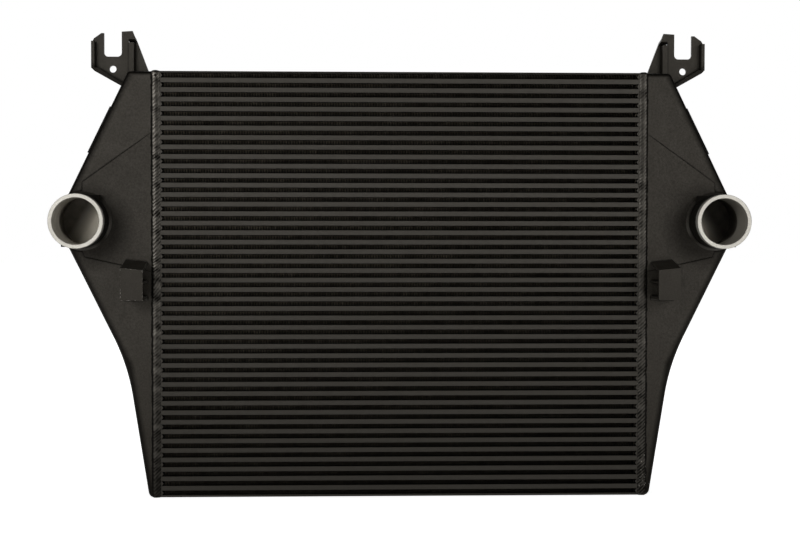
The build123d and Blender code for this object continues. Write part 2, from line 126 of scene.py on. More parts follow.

# Section of a bead from the core to the tank: place across it, and height.
BEAD_PROFILE = (
    (0.00, 0.00), (0.08, 0.30), (0.18, 0.55), (0.28, 0.73), (0.38, 0.87), (0.48, 0.96),
    (0.56, 1.00), (0.64, 0.99), (0.72, 0.93), (0.79, 0.84), (0.85, 0.72), (0.90, 0.58),
    (0.94, 0.36), (0.97, 0.10),
)

# Painted light in the gloss and brightness of each bead: where across it the painted highlight line
# runs, and the gloss at the foot, lower as painted shade, and in the upper half.
RIDGE = {LEFT: 0.72, RIGHT: 0.56}
RIDGE_WIDTH = 0.14
RIDGE_EXTRA = 0.5              # painted highlight: gloss added on that line, as a share
FOOT_GLOSS = {LEFT: 0.16, RIGHT: 0.35}
UPPER_GLOSS = {LEFT: 0.61, RIGHT: 0.50}
UPPER_GLOSS_FROM = 0.5 * top_z
GLOSS_SWING = 0.8              # share of the gloss that comes and goes
ROW_GLOSS = 0.22               # the left bead shines more level with the middle of a fin row
FLANK_GLOSS_SHADE = (0.80, 0.92)       # painted shade: the gloss fades out between these places across the bead
TOP_GLOSS_SHADE = 0.8              # painted shade: share of the gloss that is missing where it faces up

CRATER_RADIUS = 3.4 * MM       # where the left bead was ended, just under the top
CRATER_X = weld_low[0] + 6.8 * MM
CRATER_Z = top_z - 6.3 * MM
CRATER_PIT = 0.35 * CRATER_RADIUS     # painted shade: dull up to here
# painted highlight: the crater's bright ring lies between these
CRATER_RING = (0.6 * CRATER_RADIUS, 0.9 * CRATER_RADIUS)
CRATER_END = 1.1 * CRATER_RADIUS      # the bead's own ripples show from here on

# ---------------------------------------------------------------- sizes of the pipes' finish
PIPE_BORE_RADIUS = 32.1 * MM
PIPE_OUTER_RADIUS = 37.5 * MM
BORE_EDGE_START = PIPE_BORE_RADIUS + 0.1 * MM
BORE_EDGE_END = PIPE_BORE_RADIUS + 0.4 * MM
END_FACE_DEPTH = (0.5 * MM, 1.5 * MM)  # the end face's finish fades out over this depth
BORE_VIEW_RADIUS = 36 * MM     # what can be seen through the bore lies within this
PIPE_BARE_OUTSIDE = 14 * MM    # machined length outside the open end
MACHINED_BORDER = 0.3 * MM     # half the width of the border between metal and paint
MACHINED_RAGGED = 1.2 * MM     # how far that border strays
MACHINED_RUN = 3 * MM          # over this length
TURNING_PITCH = 0.9 * MM       # lathe marks
TURNING_DEPTH = 0.03 * MM
RIM_BEVEL = 0.6 * MM           # broken edges of the open end
BRUSH_SIZE = 0.8 * MM
BRUSH_STRETCH = (1, 0.1, 1)    # ten times as long along the pipe's axis
CAST_CLOUD = 12 * MM           # blotches of bare casting
BORE_LIGHT_INWARD = 1.1            # painted pool of light: the bore is lit towards its inner side
BORE_LIGHT_DOWN = 0.7              # and, less so, downwards
BORE_LIGHT_START = -20 * MM
BORE_LIGHT_FULL = 8 * MM
TANK_BACK = rear_y - 2 * MM    # the bore's bare casting ends here

# ---------------------------------------------------------------- colours, in linear RGB
PAINT_GREY = (0.0150, 0.0130, 0.0102)
PAINT_DARK = (0.0070, 0.0062, 0.0050)
BAR_GREY = (0.0160, 0.0145, 0.0120)
# darker as painted shade: the sheets' edges lie behind the bars
SHADED_SHEET_GREY = (0.0096, 0.0087, 0.0072)
FIN_BLACK = (0.0060, 0.0052, 0.0042)
# brown of the painted light on the fins
FIN_GLINT_BROWN = (0.2850, 0.2480, 0.1950)
WELD_GREY = (0.0180, 0.0160, 0.0130)
BARE_METAL = (0.70, 0.67, 0.60)
CAST_METAL = (0.30, 0.27, 0.225)
BORE_METAL = (0.46, 0.43, 0.37)
# painted pool of light inside the tank, seen through a bore
BORE_LIGHT_COLOUR = (0.8970, 0.8385, 0.7215)
CHIP_METAL = (0.34, 0.32, 0.29)
PAINT_TINT = (1.0, 0.93, 0.82)

# ---------------------------------------------------------------- looks of the bare metal
BRUSHED_SHADES = (0.88, 1.08)
BORE_SHADES = (0.85, 1.15)
LEFT_CAST_SHARES = (0.5, 0.8)      # shares of the cast metal's colour behind the left pipe
RIGHT_SHADED_SHARES = (0.15, 0.25)    # and behind the right one, darker as painted shade
RIGHT_BORE_SHADE = 0.6               # painted shade: share of the bore metal's colour inside the right pipe
# metallic share of the bare casting, outside and inside the painted pool of light
BORE_LIGHT_POLISH = (0.1, 0.6)
TURNED_SIDE_SHADE = 0.45             # painted shade: share of the bare metal's colour on the turned outside
TURNED_POLISH = 0.3
METAL_SHEEN = 0.5
METAL_ROUGHNESS = (0.40, 0.55)

# ---------------------------------------------------------------- looks of the paint
PAINT_SHEEN = 0.32             # how strongly the paint reflects
PIPE_PAINT_SHEEN = 0.08
BAR_SHEEN = 0.48
SHADED_SHEET_SHEEN = 0.14             # painted shade: the sheets' thin edges lie a little behind the bars, so they are darker
BEAD_SHEEN = 0.95
VALLEY_SHEEN = 0.03            # and in a bead's valleys
VALLEY_SHADE_TONE = 0.25             # painted shade: share of the colour left there
FOOT_SHADE_SHEEN = 0.58               # painted shade: share of the sheen left at the part's foot
CREASE_REACH = 4 * MM
CREASE_SHADE_TONE = 0.15             # painted shade: share of the colour left in a crease
CREASE_SHEEN = 0.06
SMUDGE_SIZE = 50 * MM
PATCH_SIZE = 2.6 * MM          # the sheen changes over this distance
ROUGH_SIZE = 20 * MM           # and the roughness over this one
ROUGH_RANGE = 0.05
PAINT_GRAIN = 1.2 * MM
GRAIN_SHADES = (0.8, 1.2)      # multiples of the colour in the grain

FOLD_LINE = 2 * MM             # width of the painted shade line along a fold
FOLD_TURN = (0.96, 0.998)      # cosines of the turns that are darkest and that don't show
EDGE_SHADE = 10.5 * MM         # painted shade: the tanks are darker this far in from their outline
EDGE_DARK = 4 * MM             # and darkest up to here
EDGE_STRENGTH = 0.88
TOP_EDGE_NARROWER = 1.5        # that shade is narrower by this factor along the top
PIPE_SHADE_DARK = 38 * MM      # painted shadow: the tank is darkest this near to a line beside the pipe's axis
PIPE_SHADE = 66 * MM           # and no darker than elsewhere from here on
PIPE_SHADE_SHIFT = 10 * MM     # the line lies this far inward and down
PIPE_SHADE_TONE = 0.5
GROOVE_WANDER = 3 * MM         # how far the painted shade line beside the seam bead strays outwards
GROOVE_RUN = 6 * MM            # over this length
GROOVE_DARK = weld_high[0] - 1.6 * MM  # darkest up to here
GROOVE_END = weld_high[0] - 0.9 * MM
HOOK_RIM_DARK = 1.5 * MM       # painted shade: the hooks are darkest this near to their lower rims
HOOK_RIM_SHADE = 6 * MM        # and shaded up to here
HOOK_RIM_STRENGTH = 0.7

CHIPPED_FOOT = 75 * MM         # the right seam's paint has most of its chips this far up
BEAD_CHIP_SIZE = 2.5 * MM
CHIP_REACH = 1.6 * MM          # paint is chipped this far from the stop's edges
STOP_CHIP_SIZE = 4 * MM

GLINT_SIZE = 5.6 * MM           # painted light: brown glints on the fins' upward walls, in spots this size
GLINT_STRETCH = (1, 0.15, 0.6)
GLINT_PATCH_SIZE = 60 * MM      # patches of several rows with more and with fewer glints
GLINT_PATCH_STRETCH = (1, 1, 4)
GLINT_FOOT = 0.35              # the glints thin out below this height
GLINT_FOOT_SHARE = 0.25         # to this share


# ================================================================ materials
def scaled(colour, factor):
    return tuple(c * factor for c in colour)


class Graph:
    """A node tree with short calls for the nodes that are used here."""

    def __init__(self, tree):
        self.tree = tree

    def link(self, source, target):
        self.tree.links.new(source, target)

    def node(self, kind, **settings):
        made = self.tree.nodes.new(kind)
        for key, value in settings.items():
            setattr(made, key, value)
        return made

    def math(self, operation, first, second=0.0):
        made = self.node("ShaderNodeMath", operation=operation)
        for value, socket in zip((first, second), made.inputs):
            if isinstance(value, (int, float)):
                socket.default_value = value
            else:
                self.link(value, socket)
        return made.outputs["Value"]

    def times(self, *factors):
        return reduce(lambda product, factor: self.math("MULTIPLY", product, factor), factors)

    def plus(self, first, second):
        return self.math("ADD", first, second)

    def minus(self, first, second):
        return self.math("SUBTRACT", first, second)

    def opposite(self, value):
        """1 where the value is 0, and 0 where it is 1."""
        return self.minus(1.0, value)

    def smaller(self, first, second):
        return self.math("MINIMUM", first, second)

    def larger(self, first, second):
        return self.math("MAXIMUM", first, second)

    def above(self, value, limit):
        return self.math("GREATER_THAN", value, limit)

    def below(self, value, limit):
        return self.math("LESS_THAN", value, limit)

    def hypotenuse(self, first, second):
        squares = self.plus(self.times(first, first), self.times(second, second))
        return self.math("SQRT", squares)

    def span(self, value, low, high, start=0.0, end=1.0):
        """Runs from start to end while the value runs from low to high, and stops there."""
        made = self.node("ShaderNodeMapRange")
        self.link(value, made.inputs["Value"])
        ends = {"From Min": low, "From Max": high, "To Min": start, "To Max": end}
        for key, number in ends.items():
            made.inputs[key].default_value = number
        return made.outputs["Result"]

    def parts(self, vector):
        """The X, Y and Z of a vector."""
        made = self.node("ShaderNodeSeparateXYZ")
        self.link(vector, made.inputs["Vector"])
        return made.outputs["X"], made.outputs["Y"], made.outputs["Z"]


class Shader(Graph):
    """A Principled material with short calls for what the finishes have in common."""

    def __init__(self, name, roughness=0.5):
        self.material = bpy.data.materials.new(name)
        self.material.use_nodes = True
        super().__init__(self.material.node_tree)
        self.surface = self.tree.nodes["Principled BSDF"]
        self.surface.inputs["Roughness"].default_value = roughness
        geometry = self.node("ShaderNodeNewGeometry")
        self.place = geometry.outputs["Position"]
        self.normal = geometry.outputs["Normal"]

    def feed(self, name, value):
        """Links a value to the surface's socket of this name."""
        self.link(value, self.surface.inputs[name])

    def tint(self):
        """Gives the paint's reflections their warm tint."""
        self.surface.inputs["Specular Tint"].default_value = (*PAINT_TINT, 1.0)

    def noise(self, size, detail=2.0, stretch=(1, 1, 1)):
        """Smooth noise whose blotches are about this many metres across."""
        mapping = self.node("ShaderNodeMapping")
        mapping.inputs["Scale"].default_value = [s / size for s in stretch]
        self.link(self.place, mapping.inputs["Vector"])
        texture = self.node("ShaderNodeTexNoise")
        texture.inputs["Scale"].default_value = 1.0
        texture.inputs["Detail"].default_value = detail
        self.link(mapping.outputs["Vector"], texture.inputs["Vector"])
        return texture.outputs["Fac"]

    def blotches(self, size, start=0.0, end=1.0, detail=3.0, spread=0.2, stretch=(1, 1, 1)):
        """Noise drawn out to run from start to end; a smaller spread hardens its borders."""
        return self.span(self.noise(size, detail, stretch), 0.5 - spread, 0.5 + spread, start, end)

    def mix(self, factor, first, second):
        made = self.node("ShaderNodeMix", data_type="RGBA")
        self.link(factor, made.inputs["Factor"])
        for value, socket in ((first, made.inputs["A"]), (second, made.inputs["B"])):
            if isinstance(value, tuple):
                socket.default_value = (*value, 1.0)
            else:
                self.link(value, socket)
        return made.outputs["Result"]

    def shades(self, factor, colour, dark, light):
        """A colour that runs between two multiples of itself."""
        return self.mix(factor, scaled(colour, dark), scaled(colour, light))

    def bump(self, height, depth):
        made = self.node("ShaderNodeBump")
        made.inputs["Distance"].default_value = depth
        made.inputs["Strength"].default_value = 1.0
        self.link(height, made.inputs["Height"])
        return made.outputs["Normal"]

    def crease(self, reach):
        """0 deep in an inner corner, 1 on open surfaces."""
        made = self.node("ShaderNodeAmbientOcclusion", samples=8)
        made.inputs["Distance"].default_value = reach
        return self.span(made.outputs["AO"], 0.55, 0.85)

    def near_edge(self, reach, low, high):
        """0 this near to an edge whose turn has a cosine below low, 1 on flat ground."""
        made = self.node("ShaderNodeBevel", samples=6)
        made.inputs["Radius"].default_value = reach
        turn = self.node("ShaderNodeVectorMath", operation="DOT_PRODUCT")
        self.link(made.outputs["Normal"], turn.inputs[0])
        self.link(self.normal, turn.inputs[1])
        return self.span(turn.outputs["Value"], low, high)

    def facing(self, low, high):
        """0 on the sides, 1 on faces turned to the front or the back."""
        across = self.parts(self.normal)[1]
        return self.span(self.math("ABSOLUTE", across), low, high)

    def coordinates(self):
        return self.parts(self.place)

    def on_right(self):
        return self.above(self.coordinates()[0], 0.0)

    def inside_line(self, x, z, start, end):
        """Distance from the line start-end, positive on the right of someone walking along it."""
        length = hypot(end[0] - start[0], end[1] - start[1])
        along_x = (end[0] - start[0]) / length
        along_z = (end[1] - start[1]) / length
        across = self.minus(self.times(x, along_z), self.times(z, along_x))
        return self.plus(across, start[1] * along_x - start[0] * along_z)

    def distance(self, x, z, centre_x, centre_z):
        """Distance from a line along Y."""
        return self.hypotenuse(self.minus(x, centre_x), self.minus(z, centre_z))

    def pipe_radius(self, x, z, inward=0.0, down=0.0):
        """Distance from the axis of the nearer pipe, or from a line beside it."""
        return self.distance(self.math("ABSOLUTE", x), z, pipe_x - inward, pipe_z - down)


def coated(
    name,
    colour,
    sheen=PAINT_SHEEN,
    grain=PAINT_GRAIN,
    grain_depth=0.08 * MM,
    mottle=0.18,
    patches=0.25,
    roughness=0.50,
    foot_shade_height=0.40,
    edges=None,
):
    """Satin black paint: smudged at hand size, grained like its casting, with painted shade in
    creases and wherever the edges function darkens it, and a sheen that dims towards its foot as
    painted shade.

    Returns the shader and its colour, so that a caller can lay more over it.
    """
    shader = Shader(name)
    speck = shader.blotches(grain, detail=2.0, spread=0.15)
    smudged = shader.shades(shader.blotches(SMUDGE_SIZE), colour, 1 - mottle, 1 + mottle)
    grained = shader.shades(speck, colour, *GRAIN_SHADES)
    tone = shader.mix(shader.span(speck, 0.0, 1.0, 0.35, 0.65), smudged, grained)
    # Painted shade: colour and sheen fall in creases, which ambient occlusion finds.
    unshaded_share = shader.crease(CREASE_REACH)
    if edges:
        unshaded_share = shader.times(unshaded_share, edges(shader))
    coat = shader.mix(unshaded_share, scaled(colour, CREASE_SHADE_TONE), tone)
    shader.feed("Base Color", coat)

    gloss = shader.span(unshaded_share, 0.0, 1.0, CREASE_SHEEN, sheen)
    patchy = shader.blotches(PATCH_SIZE, 1 - patches, 1 + patches)
    z = shader.coordinates()[2]
    # Painted shade: the sheen falls off towards the foot.
    foot_shade = shader.span(z, bottom_z, bottom_z + foot_shade_height, FOOT_SHADE_SHEEN, 1.0)
    shader.feed("Specular IOR Level", shader.times(gloss, patchy, foot_shade))
    rough = shader.blotches(ROUGH_SIZE, roughness - ROUGH_RANGE, roughness + ROUGH_RANGE)
    shader.feed("Roughness", rough)
    shader.feed("Normal", shader.bump(speck, grain_depth))
    shader.tint()
    return shader, coat


def painted(name, colour, **looks):
    return coated(name, colour, **looks)[0].material


def tank_outline(shader, x, z):
    """Distance inside the tank's outline, as seen from the front."""
    upper = shader.inside_line(x, z, TANK_SHOULDER, TANK_APEX)
    lower = shader.inside_line(x, z, TANK_APEX, TANK_KNEE)
    foot = shader.inside_line(x, z, TANK_KNEE, TANK_FOOT)
    top = shader.times(shader.minus(top_z, z), TOP_EDGE_NARROWER)
    return shader.smaller(shader.smaller(upper, top), shader.larger(lower, foot))


def tank_painted_shade(shader):
    """Painted shade: dark along the tank's outline, its folds, beside its pipe (a painted shadow)
    and beside its seam bead, 1 elsewhere.
    """
    x, y, z = shader.coordinates()
    x = shader.math("ABSOLUTE", x)
    outline = tank_outline(shader, x, z)
    edge = shader.span(outline, EDGE_DARK, EDGE_SHADE, EDGE_STRENGTH, 0.0)
    # painted shade along the roundings of the outline
    rounding = shader.opposite(shader.times(edge, shader.facing(0.05, 0.4)))

    # painted shadow beside the pipe, on the front half only
    beside = shader.pipe_radius(x, z, inward=PIPE_SHADE_SHIFT, down=PIPE_SHADE_SHIFT)
    pipe_shadow = shader.span(beside, PIPE_SHADE_DARK, PIPE_SHADE, PIPE_SHADE_TONE, 1.0)
    pipe_shadow = shader.larger(pipe_shadow, shader.above(y, middle_y))

    # painted shade lines along the folds and beside the seam bead
    fold = shader.near_edge(FOLD_LINE, *FOLD_TURN)
    wander = shader.times(shader.noise(GROOVE_RUN, detail=1.0), GROOVE_WANDER)
    groove = shader.span(shader.minus(x, wander), GROOVE_DARK, GROOVE_END)
    return shader.times(rounding, pipe_shadow, fold, groove)


def tank_bore(shader, x, z):
    """Colour and polish of the casting behind the pipe, with a painted pool of light low on its
    inner side, made more metallic there.
    """
    cloud = shader.blotches(CAST_CLOUD)
    on_right = shader.on_right()
    left_cast = shader.shades(cloud, CAST_METAL, *LEFT_CAST_SHARES)
    # painted shade: the casting behind the right pipe is darker
    right_shaded = shader.shades(cloud, CAST_METAL, *RIGHT_SHADED_SHARES)
    # painted pool of light, low on the inner side behind each pipe
    inward = shader.times(shader.minus(pipe_x, shader.math("ABSOLUTE", x)), BORE_LIGHT_INWARD)
    down = shader.times(shader.minus(pipe_z, z), BORE_LIGHT_DOWN)
    lit_patch = shader.span(shader.plus(inward, down), BORE_LIGHT_START, BORE_LIGHT_FULL)
    lit_patch = shader.math("POWER", lit_patch, shader.plus(on_right, 1.0))
    colour = shader.mix(lit_patch, shader.mix(on_right, left_cast, right_shaded), BORE_LIGHT_COLOUR)
    return colour, shader.span(lit_patch, 0.0, 1.0, *BORE_LIGHT_POLISH)


def tank_paint():
    """Painted casting with painted shade along its roundings, bare where the pipe's bore opens it,
    with a painted pool of light in the bore.
    """
    shader, coat = coated("tank_paint", PAINT_GREY, foot_shade_height=0.25, edges=tank_painted_shade)
    x, y, z = shader.coordinates()
    in_bore = shader.below(shader.pipe_radius(x, z), BORE_VIEW_RADIUS)
    bare = shader.times(in_bore, shader.below(y, TANK_BACK))
    cast, polish = tank_bore(shader, x, z)
    shader.feed("Base Color", shader.mix(bare, coat, cast))
    shader.feed("Metallic", shader.times(bare, polish))
    return shader.material


def with_crater(shader, crest, x, y, z):
    """The crests with the left bead's end crater drawn in as painted light: a painted highlight
    ring round a pit in painted shade.
    """
    far = shader.distance(x, z, -CRATER_X, CRATER_Z)
    ring_start, ring_end = CRATER_RING
    ring = shader.span(far, CRATER_PIT, ring_start)
    cover = shader.span(far, ring_end, CRATER_END, 1.0, 0.0)
    in_crater = shader.times(cover, shader.below(y, front_y))
    outside = shader.times(crest, shader.opposite(in_crater))
    return shader.plus(outside, shader.times(ring, in_crater))


def bead_paint():
    """Paint over a rippled bead, with painted light from its crest attribute: painted shade in its
    valleys, painted highlights on its crests; chipped at a foot.
    """
    shader, coat = coated(
        "bead_paint", WELD_GREY, grain=0.8 * MM, grain_depth=0.02 * MM, roughness=0.32
    )
    x, y, z = shader.coordinates()
    crest = shader.node("ShaderNodeAttribute", attribute_name="crest").outputs["Fac"]
    shine = shader.span(with_crater(shader, crest, x, y, z), 0.0, 1.0)
    fewer_above = shader.span(z, bottom_z, bottom_z + CHIPPED_FOOT, 0.98, 0.88)
    spots = shader.span(shader.times(shader.noise(BEAD_CHIP_SIZE), fewer_above), 0.64, 0.68)
    chips = shader.times(spots, shader.on_right())
    # painted shade in the valleys, from the crest attribute
    paint = shader.mix(shine, scaled(WELD_GREY, VALLEY_SHADE_TONE), coat)
    shader.feed("Base Color", shader.mix(chips, paint, CHIP_METAL))
    shader.feed("Specular IOR Level", shader.span(shine, 0.0, 1.0, VALLEY_SHEEN, BEAD_SHEEN))
    return shader.material


def hook_painted_shade(shader):
    """Painted shade: dark along the hooks' sloping lower rims, 1 elsewhere."""
    x, _, z = shader.coordinates()
    rim = shader.inside_line(shader.math("ABSOLUTE", x), z, HOOK_RIM_OUT, HOOK_RIM_IN)
    shade = shader.span(rim, HOOK_RIM_DARK, HOOK_RIM_SHADE, HOOK_RIM_STRENGTH, 0.0)
    on_hook = shader.above(z, HOOK_RIM_IN[1])
    return shader.opposite(shader.times(shade, shader.facing(0.3, 0.7), on_hook))


def bracket_paint():
    """Painted plate with painted shade along the hooks' lower rims; the left stop's front edges are
    chipped to the metal.
    """
    shader, coat = coated(
        "bracket_paint", PAINT_GREY, grain_depth=0.05 * MM, mottle=0.10, patches=0.12,
        edges=hook_painted_shade,
    )
    x, _, z = shader.coordinates()
    on_left_stop = shader.times(shader.below(x, 0.0), shader.below(z, pipe_z))
    worn = shader.opposite(shader.near_edge(CHIP_REACH, 0.80, 0.98))
    spots = shader.span(shader.noise(STOP_CHIP_SIZE, detail=3.0), 0.50, 0.62)
    chips = shader.times(worn, spots, on_left_stop)
    shader.feed("Base Color", shader.mix(chips, coat, CHIP_METAL))
    return shader.material


def fin_paint():
    """Thin black paint on folded sheet, with painted light: brown on the walls that face up, in
    uneven patches, fewer low down.
    """
    shader = Shader("fin_paint")
    leaning = shader.span(shader.parts(shader.normal)[2], -0.1, 0.1)
    uneven = shader.blotches(GLINT_SIZE, 0.5, detail=1.0, spread=0.12, stretch=GLINT_STRETCH)
    patchy = shader.noise(GLINT_PATCH_SIZE, stretch=GLINT_PATCH_STRETCH)
    glint_patch = shader.span(patchy, 0.40, 0.65, 0.55, 1.0)
    z = shader.coordinates()[2]
    higher = shader.span(z, bottom_z, bottom_z + GLINT_FOOT, GLINT_FOOT_SHARE, 1.0)
    # painted light on the walls that face up
    glint = shader.times(leaning, uneven, glint_patch, higher)
    shader.feed("Base Color", shader.mix(glint, FIN_BLACK, FIN_GLINT_BROWN))
    shader.tint()
    return shader.material


def turned_height(shader, radius, polished):
    """Height of the lathe marks on the pipe's end face, and of its broken edges."""
    wave = shader.math("SINE", shader.times(radius, 2 * pi / TURNING_PITCH))
    marks = shader.times(wave, polished, TURNING_DEPTH)
    outer_edge = shader.minus(PIPE_OUTER_RADIUS - RIM_BEVEL, radius)
    inner_edge = shader.minus(radius, PIPE_BORE_RADIUS + RIM_BEVEL)
    fall = shader.smaller(shader.smaller(outer_edge, inner_edge), 0.0)
    return shader.plus(marks, fall)


def pipe_metal():
    """Painted pipe whose open end is machined bare, and whose bore is bare casting; its turned
    outside and the right pipe's bore are darker as painted shade.
    """
    shader = Shader("pipe_metal")
    x, y, z = shader.coordinates()
    radius = shader.pipe_radius(x, z)
    depth = shader.minus(y, pipe_open_y)
    in_bore = shader.span(radius, BORE_EDGE_START, BORE_EDGE_END, 1.0, 0.0)
    end_face = shader.span(depth, *END_FACE_DEPTH, 1.0, 0.0)
    polished = shader.times(end_face, shader.opposite(in_bore))
    ragged = shader.times(shader.noise(MACHINED_RUN), MACHINED_RAGGED)
    border = shader.plus(depth, ragged)
    machined = shader.span(
        border, PIPE_BARE_OUTSIDE - MACHINED_BORDER, PIPE_BARE_OUTSIDE + MACHINED_BORDER, 1.0, 0.0
    )
    brushed = shader.blotches(BRUSH_SIZE, detail=2.0, stretch=BRUSH_STRETCH)

    speck = shader.blotches(PAINT_GRAIN, detail=2.0, spread=0.15)
    paint = shader.shades(speck, PAINT_DARK, *GRAIN_SHADES)
    metal = shader.shades(brushed, BARE_METAL, *BRUSHED_SHADES)
    # painted shade: the turned outside is darker than the end face
    turned = shader.mix(end_face, scaled(BARE_METAL, TURNED_SIDE_SHADE), metal)
    cast = shader.shades(shader.blotches(CAST_CLOUD), BORE_METAL, *BORE_SHADES)
    # painted shade: the bore of the right pipe is darker
    cast = shader.mix(shader.on_right(), cast, scaled(BORE_METAL, RIGHT_BORE_SHADE))
    outside = shader.mix(machined, paint, turned)
    shader.feed("Base Color", shader.mix(in_bore, outside, cast))

    sheen = shader.span(machined, 0.0, 1.0, PIPE_PAINT_SHEEN, METAL_SHEEN)
    shader.feed("Specular IOR Level", sheen)
    shader.feed("Metallic", shader.times(polished, TURNED_POLISH))
    shader.feed("Roughness", shader.span(brushed, 0.0, 1.0, *METAL_ROUGHNESS))
    shader.feed("Normal", shader.bump(turned_height(shader, radius, polished), 1.0))
    return shader.material


# ================================================================ meshes
def add_mesh(name, points, faces, material, smooth=True):
    data = bpy.data.meshes.new(name)
    data.from_pydata(points, [], faces)
    data.materials.append(material)
    data.polygons.foreach_set("use_smooth", [smooth] * len(data.polygons))
    data.update()
    piece = bpy.data.objects.new(name, data)
    bpy.context.scene.collection.objects.link(piece)
    return piece


def grid_faces(rows, columns, first=0):
    """Quads of a grid whose points were added row by row."""
    faces = []
    for i in range(rows - 1):
        for j in range(columns - 1):
            a = first + i * columns + j
            faces.append((a, a + 1, a + columns + 1, a + columns))
    return faces


def fin_strips(name, rows, material):
    """Folded strips whose channels zigzag through the core's depth, one for each row."""
    width = fins_high[0] - fins_low[0]
    depth = fins_high[1] - fins_low[1]
    walls = round(2 * width / FIN_PITCH)
    runs = round(depth / FIN_WAVE_RUN)
    points = []
    faces = []
    for row in rows:
        low = fins_low[2] + row * ROW_PITCH
        first = len(points)
        for step in range(runs + 1):
            y = fins_low[1] + depth * step / runs
            shift = FIN_WAVE_SHIFT * (step % 2)
            for wall in range(walls + 1):
                jitter = FIN_JITTER * noise.noise(Vector((wall * 0.7, row * 3.1, 0)))
                x = min(fins_low[0] + width * wall / walls + shift + jitter, fins_high[0])
                points.append((x, y, low + FIN_ROW_HEIGHT * (wall % 2)))
        faces += grid_faces(runs + 1, walls + 1, first)
    return add_mesh(name, points, faces, material, smooth=False)


def loop_stations():
    """Points of the loop round the core's end: Y, Z, outward direction and the length so far."""
    corners = ((front_y, top_z), (rear_y, top_z), (rear_y, bottom_z), (front_y, bottom_z))
    in_y, in_z = -1, 0             # outward on the side before a corner, first the front
    stations = []
    length = 0.0
    for index, (y, z) in enumerate(corners):
        out_y, out_z = in_z, -in_y
        centre_y = y - BEAD_CORNER * (in_y + out_y)
        centre_z = z - BEAD_CORNER * (in_z + out_z)
        for turn in range(BEAD_CORNER_STEPS + 1):
            angle = turn / BEAD_CORNER_STEPS * pi / 2
            ny = in_y * cos(angle) + out_y * sin(angle)
            nz = in_z * cos(angle) + out_z * sin(angle)
            stations.append(
                (centre_y + BEAD_CORNER * ny, centre_z + BEAD_CORNER * nz, ny, nz, length)
            )
            # One step more than the arc has, at each corner: it only shifts the ripples.
            length += BEAD_CORNER * pi / 2 / BEAD_CORNER_STEPS
        start_y = centre_y + BEAD_CORNER * out_y
        start_z = centre_z + BEAD_CORNER * out_z
        next_y, next_z = corners[(index + 1) % len(corners)]
        span = hypot(next_y - y, next_z - z) - 2 * BEAD_CORNER
        steps = int(span / BEAD_SPACING)
        for step in range(1, steps):
            moved = step / steps * span
            stations.append(
                (start_y + out_z * moved, start_z - out_y * moved, out_y, out_z, length + moved)
            )
        length += span
        in_y, in_z = out_y, out_z
    return stations


def swing(length, size, lane, layer):
    """Smooth noise from -1 to 1 along the bead; lane and layer choose the draw."""
    return noise.noise(Vector((length / size, lane, layer)))


def ripple_phase(length, across, side):
    """Where a place on the bead lies in its ripple, from 0 to 1; the ripples slant across it."""
    drift = RIPPLE_DRIFT * swing(length, DRIFT_RUN, side, 0.3)
    climb = abs(across - RIPPLE_BEND) if side == LEFT else across - 0.5
    climb *= RIPPLE_SLOPE * (weld_high[0] - weld_low[0])
    phase = (length - climb) / RIPPLE_PITCH + drift
    return phase - floor(phase)


def ripple(length, across, side):
    """Scalloped height of the bead, 0 in the valley between two ripples and 1 on a crest."""
    return 1 - (2 * ripple_phase(length, across, side) ** RIPPLE_SKEW - 1) ** 2


def ripple_strength(z, side):
    """How deep the ripples are: on the left most so by the pipe, on the right at the foot."""
    if side == LEFT:
        return RIPPLE_CALM + RIPPLE_BY_PIPE * exp(-(((z - pipe_z) / BY_PIPE_REACH) ** 2))
    return SMOOTH_RIPPLE + SMOOTH_RIPPLE_FOOT * max(0.0, 1 - z / SMOOTH_RIPPLE_REACH)


def valley_shade(length, across, side):
    """Painted shade: 1 in the valley between two ripples, 0 on their backs, and weaker here and
    there.
    """
    in_valley = 0.5 + 0.5 * cos(2 * pi * ripple_phase(length, across, side))
    share = 0.9 + 0.9 * swing(length, VALLEY_SHADE_RUN, across * 2, 5 + side)
    return min(1.0, share * in_valley)


def row_wave(z):
    """1 level with the middle of a fin row, -1 level with a bar."""
    return cos(2 * pi * (z - fins_low[2] - FIN_ROW_HEIGHT / 2) / ROW_PITCH)


def crest_shine(station, across, side):
    """Gloss and brightness of the paint at a place across the bead, as painted light: a painted
    highlight line, and painted shade in the valleys, low down, on the tank-side flank and where it
    faces up; the shader keeps it between 0 and 1.
    """
    _, z, _, nz, length = station
    higher = min(1.0, z / UPPER_GLOSS_FROM)
    gloss = FOOT_GLOSS[side] + (UPPER_GLOSS[side] - FOOT_GLOSS[side]) * higher
    worked = 1 + GLOSS_SWING * swing(length, GLOSS_RUN, 9 + side, 2)
    if side == LEFT:
        worked += ROW_GLOSS * row_wave(z)
    # painted highlight along a line across the bead
    ridge = exp(-(((across - RIDGE[side]) / RIDGE_WIDTH) ** 2))
    shine = gloss * (worked + RIDGE_EXTRA * ridge)
    shine -= ripple_strength(z, side) * valley_shade(length, across, side)
    fade_start, fade_end = FLANK_GLOSS_SHADE
    shine *= 1 - min(1.0, max(0.0, (across - fade_start) / (fade_end - fade_start)))
    return shine * (1 - TOP_GLOSS_SHADE * max(0.0, nz))


